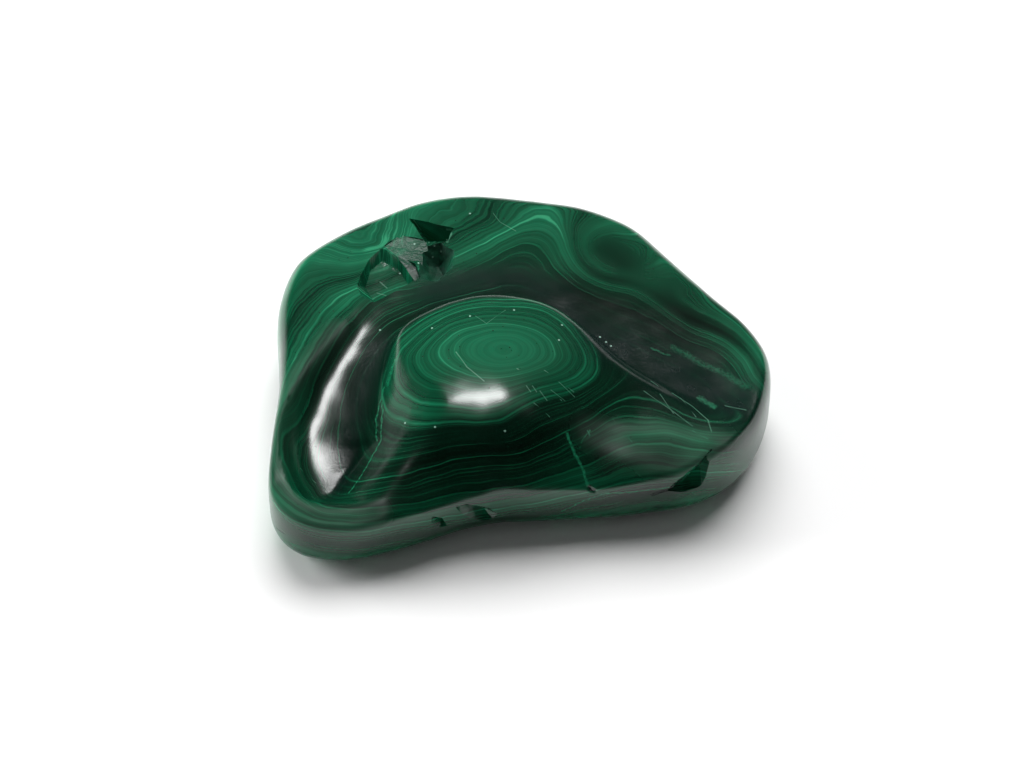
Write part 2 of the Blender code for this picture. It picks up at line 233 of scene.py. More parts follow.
def topSurface(shape):
    def plate(slack, *names):
        spots = np.array([spot for name in names for spot in shape[name]])
        return smoothThrough(spots[:, :2], spots[:, 2], slack)

    ground, basin = plate(0.5, "plateau", "hill", "frontSlope"), plate(0.5, "basin")
    foot, groove = smoothRows(shape["foot"], 320), smoothRows(shape["groove"], 320)

    def height(x, y):
        # the lower of ground and cut. The cut is the higher of the floor and the hill's side, a slope
        # rising from the hill's foot. The floor is the lower of the basin and the groove, whose
        # section is lowest + floor a^2 + (a / reach)^4 at a beside its lowest line. Joints are blended.
        plan = np.stack([np.ravel(x), np.ravel(y)], 1)
        a, (lowest, outer, inner) = nearestOnLine(plan, groove)
        section = lowest + shape["grooveFloor"] * a ** 2 + (a / np.where(a > 0, inner, outer)) ** 4
        floor = softMin(section, basin(plan), shape["hillBlend"])
        side, (rise, steep) = nearestOnLine(plan, foot)
        cut = -softMin(-floor, -rise - steep * side, shape["creaseBlend"])
        blend = shape["lipBlend"] + (shape["hillBlend"] - shape["lipBlend"]) * np.clip(0.5 + side / 8, 0, 1)
        return softMin(ground(plan), cut, blend).reshape(np.shape(x))

    return height


def stoneSurface(shape):
    # grid over turn and station: stations run from the middle of the top to the rim's start, over a
    # superellipse to the widest line, in under another to the flat base, and to the base's middle
    turns, radii = outlineRadius(shape["outline"], shape["outlineBlur"])
    turn = np.linspace(-np.pi, np.pi, shape["columns"], endpoint=False)
    reach = np.interp(turn, turns, radii)
    lean = np.hypot(1, np.interp(turn, turns, np.gradient(radii, turns)) / reach)
    height = topSurface(shape)
    facing = np.clip(0.5 - 0.75 * np.sin(turn), 0, 1)
    facing = facing ** 2 * (3 - 2 * facing)     # 1 along the front, 0 at the back
    rim = (shape["rimWidth"] + (shape["frontWidth"] - shape["rimWidth"]) * facing) * lean
    shoulder = 2 / (shape["rimPower"] + (shape["frontPower"] - shape["rimPower"]) * facing)
    foot = shape["footWidth"] * lean
    power = 2 / shape["rimPower"]
    quarter = np.pi / 2
    top = np.linspace(0, 1, shape["topRows"] + 1)[1:, None] ** 0.85
    over = np.linspace(0, quarter, shape["rimRows"] + 1)[1:, None]
    under = np.linspace(0, quarter, shape["footRows"] + 1)[1:, None]
    inward = np.linspace(1, 0, shape["baseRows"] + 1)[1:-1, None]
    r = np.concatenate([(reach - rim) * top,
                        reach - rim * (1 - np.sin(over) ** shoulder),
                        reach - foot * (1 - np.cos(under).clip(0) ** power),
                        (reach - foot) * inward])
    x, y = r * np.cos(turn), r * np.sin(turn)
    z = np.zeros_like(x)
    upper = shape["topRows"] + shape["rimRows"]
    z[:upper] = height(x[:upper], y[:upper])
    waist = shape["waistShare"] * z[shape["topRows"] - 1]
    fade = np.cos(over).clip(0) ** shoulder
    z[shape["topRows"]:upper] = waist + (z[shape["topRows"]:upper] - waist) * fade
    z[upper:upper + shape["footRows"]] = waist * (1 - np.sin(under) ** power)
    centre = [(0, 0, height(np.zeros(1), np.zeros(1))[0]), (0, 0, 0)]
    return np.stack([x, y, z], 2), centre


def gridFaces(rows, columns):
    # quads between neighbouring rings, and a fan of triangles at each end
    i = np.arange(rows - 1)[:, None] * columns
    j = np.arange(columns)
    k = (j + 1) % columns
    quads = np.stack([i + j, i + columns + j, i + columns + k, i + k], 2).reshape(-1, 4)
    last = (rows - 1) * columns
    first = np.stack([np.full(columns, rows * columns), j, k], 1)
    final = np.stack([np.full(columns, rows * columns + 1), last + k, last + j], 1)
    return quads.tolist() + first.tolist() + final.tolist()


def addMesh(name, points, faces):
    mesh = bpy.data.meshes.new(name)
    mesh.from_pydata(points.tolist(), [], faces)
    mesh.update()
    piece = bpy.data.objects.new(name, mesh)
    bpy.context.scene.collection.objects.link(piece)
    return piece


grid, centre = stoneSurface(stoneShape)
middle = (grid.reshape(-1, 3).max(0) + grid.reshape(-1, 3).min(0)) / 2
middle[2] = 0
points = np.concatenate([grid.reshape(-1, 3), centre])
lift = np.clip(points[:, 2] / 3, 0, 1)     # the flat base stays flat
for amount, length in stoneShape["waves"]:
    points[:, 2] += amount * lift * ripple(points, length)
stone = addMesh("malachite_stone", (points - middle) * mm, gridFaces(*grid.shape[:2]))
print("stone grid:", grid.shape, "middle", middle.round(2))

# Broken places: hulls of their corners, cut out of the stone. The first corners stand just outside
# the surface, the last ones are the floor; rough is the height of the break's own unevenness, and
# kind is 1 for a clean break and 2 for a glassy, grey one.
breaks = {
    "cup": {"kind": 1, "rough": 0.03, "corners": [
        (-25.5, 24, 19.4), (-22.6, 21.2, 19.4), (-19, 15, 19), (-22.6, 12.4, 18.8), (-26.6, 9, 18.6),
        (-29.6, 11.4, 18.9), (-30.3, 13, 19), (-29.8, 15.4, 19), (-28, 20.6, 19.2),
        (-25.6, 21.4, 17.4), (-22.6, 19.4, 17.2), (-20.6, 15.6, 16.8), (-24.4, 13.2, 16.4),
        (-28.4, 15.2, 16.6), (-27.6, 19.2, 17.1), (-26.8, 12, 16)]},
    "facet": {"kind": 2, "rough": 0.03, "corners": [
        (-22.8, 21.2, 18.3), (-19.4, 19.4, 17.8), (-18.4, 16.4, 17), (-19.3, 14.9, 16.5),
        (-22.8, 21.2, 19.6), (-19.4, 19.4, 19.6), (-18.4, 16.4, 19.6), (-19.3, 14.9, 19.6)]},
    "glass": {"kind": 2, "rough": 0.05, "corners": [
        (-25.3, 24, 18.6), (-22.4, 26.7, 19), (-17.6, 25.6, 18.7), (-16.6, 20.6, 17.7), (-19.4, 19.3, 17.6),
        (-22.8, 21.1, 18.1),
        (-25.3, 24, 19.6), (-22.4, 26.7, 19.6), (-17.6, 25.6, 19.6), (-16.6, 20.6, 19.6),
        (-22.8, 21.1, 19.6)]},
    "hollow": {"kind": 2, "rough": 0.12, "corners": [
        (-18.9, 23.4, 19.2), (-14.8, 25, 19.2), (-12, 22.8, 19.2), (-12.4, 18.4, 18.9), (-15, 15, 18.6),
        (-18.9, 14.8, 18.8),
        (-17, 21.4, 16.2), (-15.2, 22, 15.4), (-14.2, 18.8, 15.8), (-16.6, 16.8, 16)]},
    "notch": {"kind": 1, "rough": 0.06, "corners": [
        (-21.2, 31.6, 19.7), (-16.8, 30, 19.7), (-12.2, 29, 19.7), (-13.4, 25, 19.7), (-17.8, 24.8, 19.7),
        (-14.8, 27.2, 13), (-16.8, 26.4, 13.6)]},
    "wallNotch": {"kind": 1, "rough": 0.05, "corners": [
        (33, -23.4, 15), (30.6, -25.8, 13.3), (28.3, -27.2, 11), (24, -28.4, 8), (27.8, -27.7, 6.9),
        (31.4, -26.6, 7.1), (32, -26, 11.5),
        (30.8, -23.6, 10.4), (28.4, -25, 8.8)]},
    "frontChip": {"kind": 1, "rough": 0.04, "corners": [
        (-11.4, -32.4, 9.4), (-9.4, -32, 9.8), (-5.4, -31.5, 8.2), (-2.8, -31.4, 5.6), (-4.4, -31.4, 4),
        (-6.8, -31.8, 3.8), (-9.9, -32.8, 6.4),
        (-9.2, -30.2, 7.8), (-6.6, -29.6, 6.2)]},
    "smallChip": {"kind": 1, "rough": 0.03, "corners": [
        (-15.4, -34.2, 9), (-13.6, -34, 8.4), (-12.2, -33.8, 4.8), (-14.2, -34.6, 5), (-15.9, -34.8, 7.6),
        (-14, -32.4, 6.8)]},
}


def breakCutter(name, values):
    # convex hull of the corners, cut finer and pushed in and out by two lengths of ripple
    bm = bmesh.new()
    for corner in values["corners"]:
        bm.verts.new(corner)
    bmesh.ops.convex_hull(bm, input=bm.verts)
    for turn in range(3):
        bmesh.ops.subdivide_edges(bm, edges=bm.edges, cuts=1, use_grid_fill=True)
    bmesh.ops.recalc_face_normals(bm, faces=bm.faces)
    mesh = bpy.data.meshes.new(name)
    bm.to_mesh(mesh)
    bm.free()
    places, normals = readVectors(mesh.vertices, "co"), readVectors(mesh.vertices, "normal")
    push = values["rough"] * (ripple(places, 3.0) + 0.5 * ripple(places, 1.3))
    places += normals * push[:, None] - middle
    mesh.vertices.foreach_set("co", (places * mm).ravel())
    mesh.polygons.foreach_set("material_index", np.full(len(mesh.polygons), values["kind"], np.int32))
    return bpy.data.objects.new(name, mesh)


def readVectors(items, name):
    # one vector per item, as the rows of an array
    values = np.zeros(len(items) * 3, np.float32)
    items.foreach_get(name, values)
    return values.reshape(-1, 3).astype(float)


def cutBreaks(piece):
    # all cutters at once; each new face keeps its cutter's material index, the kind of its break
    group = bpy.data.collections.new("breaks")
    bpy.context.scene.collection.children.link(group)
    for name, values in breaks.items():
        group.objects.link(breakCutter(name, values))
    cut = piece.modifiers.new("breaks", "BOOLEAN")
    cut.operation = "DIFFERENCE"
    cut.solver = "EXACT"
    cut.operand_type = "COLLECTION"
    cut.collection = group
    graph = bpy.context.evaluated_depsgraph_get()
    mesh = bpy.data.meshes.new_from_object(piece.evaluated_get(graph))
    piece.modifiers.clear()
    piece.data = mesh
    for cutter in list(group.objects):
        bpy.data.objects.remove(cutter)
    bpy.data.collections.remove(group)


cutBreaks(stone)
stone.data.shade_smooth()
stone.data.set_sharp_from_angle(angle=math.radians(32))
print("breaks cut:", len(stone.data.polygons), "faces")


# Markings. Each guide is one line followed in the picture: its pixels, and how far outward from the
# first eye its layer lies, in millimetres of growth.
guides = {
    "eye": (0, [(505, 351)]),
    "eyeRing": (8, [(436, 352), (451, 334), (480, 326), (510, 325), (527, 328), (544, 336), (555, 349),
                    (556, 357), (550, 364), (532, 371), (510, 375), (484, 377), (467, 374), (449, 366)]),
    "brightRing": (14, [(394, 373), (396, 361), (403, 347), (414, 336), (429, 326), (442, 318), (467, 309),
                        (492, 306), (515, 305), (544, 309), (562, 321), (575, 335), (584, 350), (586, 366),
                        (579, 376), (557, 382), (536, 387), (515, 396), (492, 403), (442, 401), (413, 399)]),
    "outerRing": (17, [(510, 303), (546, 305), (569, 318), (582, 335), (595, 359), (597, 370), (593, 381),
                       (579, 388), (562, 393), (544, 399), (527, 403), (515, 412), (501, 423), (476, 427),
                       (442, 427), (417, 423), (404, 419), (386, 408)]),
    "frontLine": (26, [(401, 482), (417, 473), (439, 463), (452, 455), (476, 455), (490, 452), (520, 454),
                       (532, 450), (550, 441), (567, 433), (579, 425), (593, 417), (601, 408), (613, 400),
                       (627, 395), (641, 397), (656, 401), (672, 413), (691, 419), (717, 425), (734, 423),
                       (751, 416)]),
    "frontPair": (27, [(601, 419), (617, 412), (634, 409), (656, 411), (672, 414)]),
    "lobeBand": (29.5, [(587, 446), (639, 429), (665, 426), (691, 431), (717, 439), (734, 436)]),
    "frontSecond": (28, [(379, 498), (401, 484), (426, 476), (459, 469), (492, 466), (520, 462), (536, 456),
                         (562, 446)]),
    "grooveRing": (32, [(421, 288), (401, 291), (382, 298), (366, 308), (353, 321), (340, 336), (326, 359),
                        (315, 384), (310, 408), (298, 426), (285, 443), (281, 456), (293, 483), (306, 498),
                        (326, 508), (340, 510), (353, 508), (376, 501), (393, 498)]),
    "grooveInner": (30.5, [(292, 454), (293, 443), (301, 433)]),
    "grooveRight": (23, [(356, 401), (358, 426), (361, 440)]),
    "grooveRight2": (21, [(366, 401), (368, 423), (374, 438)]),
    "leftBand": (37, [(314, 309), (338, 288), (356, 283)]),
    "leftDark": (39, [(286, 318), (310, 293), (326, 278), (356, 278)]),
    "leftLine": (41, [(308, 256), (335, 259), (359, 259)]),
    "leftFork": (42.5, [(316, 249), (335, 251), (353, 253), (373, 250), (386, 246), (388, 235), (388, 218)]),
    "leftSecond": (41, [(406, 233), (408, 218)]),
    "backDiagonal": (38.5, [(456, 231), (484, 213), (500, 200)]),
    "backBright": (36, [(457, 255), (476, 250), (492, 241), (509, 233), (532, 219), (548, 214), (569, 242),
                        (574, 254), (584, 268), (603, 280), (630, 288), (648, 297), (665, 309), (682, 323),
                        (699, 333), (725, 343), (742, 357), (751, 371), (758, 383)]),
    "backSecond": (33, [(510, 243), (527, 238), (544, 242), (553, 257), (567, 274), (584, 287), (606, 295),
                        (630, 300), (653, 312), (675, 326), (699, 338), (725, 349), (742, 364)]),
    "backThird": (30, [(510, 254), (524, 253), (536, 261), (544, 274), (562, 288), (582, 302), (613, 316),
                       (627, 323)]),
    "backEye": (47, [(613, 250)]),
    "backEyeRing": (41, [(582, 237), (581, 250), (587, 262), (606, 276), (596, 233), (624, 230)]),
    "rightLine": (40.5, [(674, 274), (682, 288), (692, 304), (708, 318), (734, 331), (748, 347), (760, 366)]),
    "rightLine2": (42, [(661, 285), (679, 305)]),
}

# How the layers look. Tones run from 0, the darkest green, to 1, the palest.
banding = {
    "reach": 50.0,      # growth in millimetres that the broad tones below are spread over
    "tones": [(0.0, 0.72), (0.15, 0.63), (0.22, 0.49), (0.30, 0.46), (0.345, 0.46), (0.38, 0.20),
              (0.50, 0.17), (0.56, 0.24), (0.61, 0.36), (0.66, 0.48), (0.71, 0.59), (0.745, 0.53),
              (0.82, 0.60), (1.0, 0.58)],
    # bands: per millimetre of growth, place in the noise, detail, and how much lighter or darker
    "bands": [(0.30, 3.0, 1.0, 0.34), (1.0, 17.0, 1.0, 0.40), (3.6, 31.0, 2.0, 0.34)],
    "hair": 0.20,       # how much lighter the hair-fine lines are
    "wander": 1.3,      # how far layers stray from the guides, in millimetres of growth
    "wiggle": 0.16,     # and in short waves
    "paintedFootLight": 0.2,    # painted light: how much lighter the foot of the walls is painted
    "dip": 0.8,         # growth added per millimetre below the top, down the walls and the breaks
}

# Thin layers that stand out: growth, half width in millimetres, and how much lighter or darker
accents = {
    "eyeLine": (7.9, 0.24, 0.24),
    "eyeLine2": (9.2, 0.18, 0.13),
    "darkRing": (12.6, 0.7, -0.12),
    "brightRing": (14, 0.32, 0.36),
    "outerRing": (17, 0.26, 0.50),
    "flankLine": (21, 0.18, 0.26),
    "flankLine2": (23, 0.2, 0.3),
    "frontLine": (26, 0.18, 0.48),
    "frontPair": (27, 0.16, 0.34),
    "frontSecond": (28.1, 0.16, 0.38),
    "grooveInner": (30.5, 0.14, 0.2),
    "grooveRing": (32, 0.22, 0.34),
    "backSecond": (33, 0.2, 0.24),
    "darkGap": (34.2, 0.5, -0.10),
    "backBright": (36, 0.5, 0.12),
    "leftDark": (39, 1.3, -0.12),
    "leftLine": (41, 0.2, 0.24),
    "leftFork": (42.5, 0.3, 0.45),
}

# Patches along lines followed in the picture: how much they add, how many millimetres they reach,
# and their pixels
patches = {
    "shade": {
        # the patches on the front-facing slopes (the hill's front, low at the front, the lobe's front, the
        # left front) are partly the stone's own darker tone and partly painted shade
        "hillFrontPaintedShade": (-0.06, 6, [(440, 440), (480, 438), (540, 430)]),
        "frontLowPaintedShade": (-0.07, 5, [(420, 500), (450, 490), (520, 480)]),
        "blob": (-0.30, 5.5, [(606, 250), (622, 262)]),
        "rightEdge": (-0.26, 6, [(680, 290), (725, 335)]),
        "lobeBand": (0.18, 2.6, [(620, 440), (660, 432), (700, 438)]),
        "lobeFrontPaintedShade": (-0.24, 3.5, [(610, 470), (660, 472)]),
        "backBand": (0.04, 3.2, [(548, 214), (574, 254), (603, 280), (648, 297), (699, 333), (742, 357)]),
        "cup": (0.07, 3, [(374, 274), (396, 268)]),
        "innerBand": (-0.30, 5, [(580, 292), (625, 306), (680, 328)]),
        "leftPlateau": (-0.20, 6, [(320, 330), (310, 370)]),
        "leftFrontPaintedShade": (-0.10, 4, [(290, 520), (330, 520), (380, 510)]),
    },
    "calm": {
        "eye": (0.55, 7, [(490, 352), (520, 350)]),
        "blob": (0.9, 7, [(600, 245), (625, 262), (660, 285)]),
        "hollow": (0.8, 7, [(640, 365), (690, 385)]),
        "valley": (0.7, 4, [(430, 285), (480, 272), (540, 285), (600, 330)]),
        "grooveSide": (0.5, 4, [(350, 470), (360, 430), (375, 380)]),
    },
    "matte": {
        "lobe": (1.7, 2.6, [(590, 432), (612, 436), (632, 438)]),
        "lobeRight": (2.3, 4.2, [(660, 443), (680, 446), (708, 448)]),
        "lip": (2.2, 2.2, [(276, 490), (286, 504), (304, 514), (330, 519), (352, 518), (374, 514)]),
        "leftLip": (1.6, 2.0, [(335, 328), (316, 352), (298, 375), (287, 400), (281, 430), (280, 465)]),
    },
    "pitted": {
        "groove": (1.0, 2.0, [(350, 385), (341, 410), (334, 435), (328, 458), (331, 476), (341, 488)]),
    },
    # dull ground in the valley, the hollow and the groove: less polish, and a darker slate green that is
    # partly its own colour and partly painted shade
    "dullAndShaded": {
        "valley": (0.8, 3.6, [(430, 292), (470, 280), (520, 278), (560, 300), (600, 345)]),
        "hollow": (1.0, 6.5, [(625, 350), (660, 368), (700, 388), (735, 402)]),
        "groove": (0.8, 2.8, [(380, 345), (362, 390), (350, 430), (342, 465), (336, 488)]),
    },
}

# Patches that stay on the top, and the depth in millimetres below it where they have ended, so that
# the wall keeps its polish
topOnly = {"kinds": ("matte", "pitted"), "depth": 1.5}

# Lines drawn on the finished surface: half width in millimetres, strength, and their pixels
strokes = {
    "veins": {
        "front": (0.34, 0.9, [(566.8, 434), (576, 456), (584, 472), (587.5, 486)]),
        "frontThin": (0.16, 0.8, [(579.7, 447.8), (583.2, 437.5), (590, 430)]),
        "wall": (0.22, 0.8, [(562, 511.5), (586, 499.5), (606, 493.5), (630, 492), (656, 489), (670, 487)]),
        "wallRight": (0.22, 0.7, [(692, 493), (708, 498), (722, 492)]),
        "groove": (0.24, 0.55, [(383, 391), (382, 416), (381, 440), (374, 453), (359, 479), (349, 493)]),
        "flank": (0.24, 0.5, [(390, 372), (383, 390), (376, 418), (377, 440)]),
        "green": (0.8, 0.4, [(700, 398), (714, 407)]),
        "flankGreen": (0.8, 0.45, [(395, 360), (388, 383)]),
        "streak": (0.9, 0.2, [(673, 347), (702, 364), (722, 372), (746, 387)]),
        "shortStreak": (0.3, 0.35, [(651, 348.5), (670, 355.5)]),
    },
    "scratchesAndGlints": {
        "eye": (0.14, 1.0, [(456, 352), (467, 367), (484, 381)]),
        "dome": (0.1, 0.6, [(475.6, 316), (486.4, 323.5), (505.4, 310.2)]),
        "hatch1": (0.13, 0.9, [(517, 368.6), (561.7, 400.5)]),
        "hatch2": (0.13, 0.8, [(544.4, 370.3), (573.7, 391.9)]),
        "hatch3": (0.13, 0.9, [(534, 403), (549.6, 416.8)]),
        "hatch4": (0.11, 0.9, [(526.4, 385.8), (530.7, 391.9)]),
        "hatch5": (0.11, 0.9, [(532.4, 385.8), (536.7, 391.9)]),
        "hatch6": (0.13, 0.9, [(540, 391), (547, 400.5)]),
        "hatch7": (0.12, 0.8, [(559, 382), (574.6, 397)]),
        "hatch8": (0.12, 0.7, [(551, 390), (565, 401)]),
        "tick": (0.2, 1.0, [(587.5, 430.6), (590, 435.8)]),
        "lobe1": (0.13, 0.5, [(613, 419), (632, 442)]),
        "lobe2": (0.13, 0.8, [(644, 391), (670, 409), (692.5, 426)]),
        "lobe3": (0.13, 0.8, [(660, 394), (673.6, 413.4)]),
        "lobe4": (0.13, 0.9, [(672, 393), (692, 406), (708, 420), (711.5, 431.5)]),
        "lobe5": (0.12, 0.8, [(692.5, 430.6), (708, 439)]),
        "lobe6": (0.12, 0.8, [(680.5, 398), (696, 417)]),
        "hollow1": (0.13, 0.9, [(651, 381), (658, 386)]),
        "hollow2": (0.13, 0.8, [(725, 405.6), (746, 410)]),
        "back": (0.1, 0.6, [(493, 213), (500, 222), (516, 231)]),
        "plateau": (0.1, 0.6, [(300, 468), (316, 483)]),
        # painted glints: the strokes from here on lie in the broken places and paint their glints and bright
        # edges
        "notchRight": (0.28, 1.0, [(447, 229.5), (451.5, 230), (451, 234), (447, 242)]),
        "notchLeft": (0.16, 0.9, [(414, 220.5), (421, 230), (429, 242)]),
        "glassTop": (0.16, 1.0, [(403, 236), (401.5, 239.5), (402, 244)]),
        "glassLeft": (0.14, 0.9, [(385, 246), (391, 251.5), (396.5, 255)]),
        "cupGlint": (0.16, 0.9, [(380, 282), (387, 288)]),
        "cupFoot": (0.14, 0.8, [(377, 293), (386, 295.5)]),
        "hollowFoot": (0.14, 0.8, [(441, 272.5), (447, 271.5)]),
    },
    "cracks": {
        "corner": (0.3, 1.0, [(270, 522), (277, 527.5), (284, 533)]),
        "notch": (0.28, 1.0, [(652, 495), (664, 491), (674, 485)]),
        "spot": (0.6, 0.5, [(589, 488), (593, 491)]),
    },
}

# Bright specks and painted glints: their pixels; the specks on the last line, in the broken places, are
# painted glints
specksAndGlints = [(514, 310), (470, 316), (432, 328), (559, 340), (562, 325), (435, 427), (505, 431), (405, 423),
          (600, 337), (606, 342), (611, 346), (380, 330), (470, 213.5),
          (414.5, 244), (418.5, 263), (432.7, 257), (434.5, 246), (441, 251.5), (447, 240), (400, 273.5)]


def picturePoints(pixels, tree):
    # where the lines of sight through the pixels meet the stone, in its own plan
    raised = math.radians(view["elevation"])
    back = np.array([0, -math.cos(raised), math.sin(raised)])
    up = np.array([0, math.sin(raised), math.cos(raised)])
    right = np.array([1.0, 0, 0])
    focus = view["lens"] * view["width"] / view["sensor"]
    eye = (np.array(view["target"]) - middle + back * focus / view["pixelsPerMm"]) * mm
    found = []
    for x, y in pixels:
        ray = -back * focus + right * (x - view["width"] / 2) + up * (view["height"] / 2 - y)
        hit = tree.ray_cast(Vector(eye), Vector(ray / np.linalg.norm(ray)))[0]
        if hit:
            found.append(np.array(hit) / mm + middle)
    return np.array(found)


def layerField(tree):
    # growth distance over the plan, the smoothest field through all guides
    places, values = [], []
    for name, (growth, pixels) in guides.items():
        found = picturePoints(pixels, tree)
        if len(found) < len(pixels):
            print(name, "misses", len(pixels) - len(found))
        places.append(found[:, :2])
        values.append(np.full(len(found), float(growth)))
    return smoothThrough(np.concatenate(places) / 10, np.concatenate(values), slack=0.4)


def patchField(lines, places, tree):
    # sum of bells exp(-(d / reach)^2) at distance d from each patch's line
    total = np.zeros(len(places))
    for amount, reach, pixels in lines.values():
        line = picturePoints(pixels, tree)[:, :2]
        away = nearestOnLine(places[:, :2], line)[0]
        total += amount * np.exp(-(away / reach) ** 2)
    return total


def setAttribute(mesh, name, values, domain="POINT"):
    mesh.attributes.new(name, "FLOAT", domain).data.foreach_set("value", np.asarray(values, np.float32))


def markStone(piece, tree):
    # per point: growth distance, which also goes on downward through the stone, and the patches
    mesh = piece.data
    places = readVectors(mesh.vertices, "co") / mm + middle
    layers = layerField(tree)
    top = topSurface(stoneShape)(places[:, 0], places[:, 1])
    depth = top - places[:, 2]
    setAttribute(mesh, "growth", layers(places[:, :2] / 10) + banding["dip"] * depth)
    onTop = np.clip(topOnly["depth"] - depth, 0, 1)
    for name, lines in patches.items():
        amount = patchField(lines, places, tree)
        setAttribute(mesh, name, amount * onTop if name in topOnly["kinds"] else amount)
    broken = np.zeros(len(mesh.polygons), np.int32)
    mesh.polygons.foreach_get("material_index", broken)
    setAttribute(mesh, "broken", broken, "FACE")
    mesh.polygons.foreach_set("material_index", np.zeros(len(broken), np.int32))


sightTree = BVHTree.FromObject(stone, bpy.context.evaluated_depsgraph_get())
markStone(stone, sightTree)
print("markings laid out")


class Nodes:
    # short way to write a material: each call adds one node, and links or sets its inputs by name
    def __init__(self, name):
        self.material = bpy.data.materials.new(name)
        self.material.use_nodes = True
        self.tree = self.material.node_tree
        self.shader = self.tree.nodes["Principled BSDF"]

    def put(self, socket, value):
        if isinstance(value, bpy.types.NodeSocket):
            self.tree.links.new(value, socket)
        else:
            socket.default_value = value

    def add(self, kind, inputs=(), output=0, **settings):
        node = self.tree.nodes.new("ShaderNode" + kind)
        for key, value in settings.items():
            setattr(node, key, value)
        for key, value in dict(inputs).items():
            self.put(node.inputs[key], value)
        return node.outputs[output]

    def math(self, operation, a, b=0.0, c=0.0, clamp=False):
        return self.add("Math", {0: a, 1: b, 2: c}, operation=operation, use_clamp=clamp)

    def ramp(self, value, stops):
        socket = self.add("ValToRGB", {"Fac": value})
        ramp = socket.node.color_ramp
        while len(ramp.elements) < len(stops):
            ramp.elements.new(0.5)
        for element, (position, colour) in zip(ramp.elements, stops):
            element.position = position
            level = colour if isinstance(colour, tuple) else (colour,) * 3
            element.color = (*level, 1)
        return socket

    def noise(self, where, scale, detail=2.0, roughness=0.5):
        settings = {"Vector": where, "Scale": scale, "Detail": detail, "Roughness": roughness}
        return self.add("TexNoise", settings)

    def layers(self, along, scale, offset, detail=1.0):
        # noise over the growth distance alone: layers of uneven tone
        place = self.math("MULTIPLY_ADD", along, scale, offset)
        return self.add("TexNoise", {"W": place, "Scale": 1.0, "Detail": detail}, noise_dimensions="1D")

    def attribute(self, name):
        return self.add("Attribute", output=2, attribute_name=name)

    def mix(self, share, first, second):
        colours = {0: share, 6: colourValue(first), 7: colourValue(second)}
        return self.add("Mix", colours, 2, data_type="RGBA")

    def away(self, where, place):
        return self.add("VectorMath", {0: where, 1: place}, 1, operation="DISTANCE")

    def stroke(self, where, start, end, width, strength):
        # strength on the straight line between two points, falling to 0 at width beside it and on
        # below 0
        step = end - start
        square = float(step @ step)
        share = self.add("VectorMath", {0: where, 1: step / square}, 1, operation="DOT_PRODUCT")
        share = self.math("MAXIMUM", self.math("SUBTRACT", share, float(start @ step) / square), 0.0)
        share = self.math("MINIMUM", share, 1.0)
        nearest = self.add("VectorMath", {0: share, 1: step, 2: start}, operation="MULTIPLY_ADD")
        return self.math("MULTIPLY_ADD", self.away(where, nearest), -strength / width, strength)

    def drawn(self, where, lines, tree):
        # the strongest of all strokes of one kind
        total = 0.0
        for width, strength, pixels in lines.values():
            places = picturePoints(pixels, tree) - middle
            for start, end in zip(places, places[1:]):
                total = self.math("MAXIMUM", self.stroke(where, start, end, width, strength), total)
        return total


def colourValue(colour):
    return (*colour, 1) if isinstance(colour, tuple) else colour


polish = {
    "dark": (0.0006, 0.0040, 0.0020),
    "deep": (0.0010, 0.0170, 0.0078),
    "middle": (0.0022, 0.062, 0.0275),
    "bright": (0.0040, 0.110, 0.050),
    "pale": (0.016, 0.230, 0.110),
    # the darker grey-green of dull ground, which also paints shade in the hollows
    "shadedSlate": (0.0012, 0.0100, 0.0078),
    "vein": (0.012, 0.200, 0.095),
    # scratches, and the painted glints on the broken places' edges
    "scratchAndGlint": (0.05, 0.26, 0.15),
    # bright specks, and the painted glints in the broken places
    "speckAndGlint": (0.30, 0.52, 0.42),
    "pit": (0.0005, 0.003, 0.002),
    "glass": (0.012, 0.055, 0.036),
    "ior": 1.58,
    # roughness: the polish, its unevenness, and what each kind of wear adds
    "roughness": 0.205,
    "uneven": 0.08,
    "dullAndShaded": 0.07,
    "matte": 0.26,
    "scratched": 0.3,
    "glassy": 0.10,
    # relief in millimetres: over the polish, on dull ground, on breaks, and the depth of cracks and pits
    "grain": 0.006,
    "dullRelief": 0.06,
    "breakRelief": 0.08,
    "glassyRelief": 0.14,       # more than on a clean break
    "crackDepth": 0.15,
    "pitDepth": 0.04,
    # polish pits: cells per millimetre, the pit's radius in cells and the level of noise where pits
    # begin, each followed by what pitted ground adds to it
    "pitCells": 0.8,
    "pitRadius": (0.11, 0.10),
    "pitLevel": (0.60, -0.35),
}


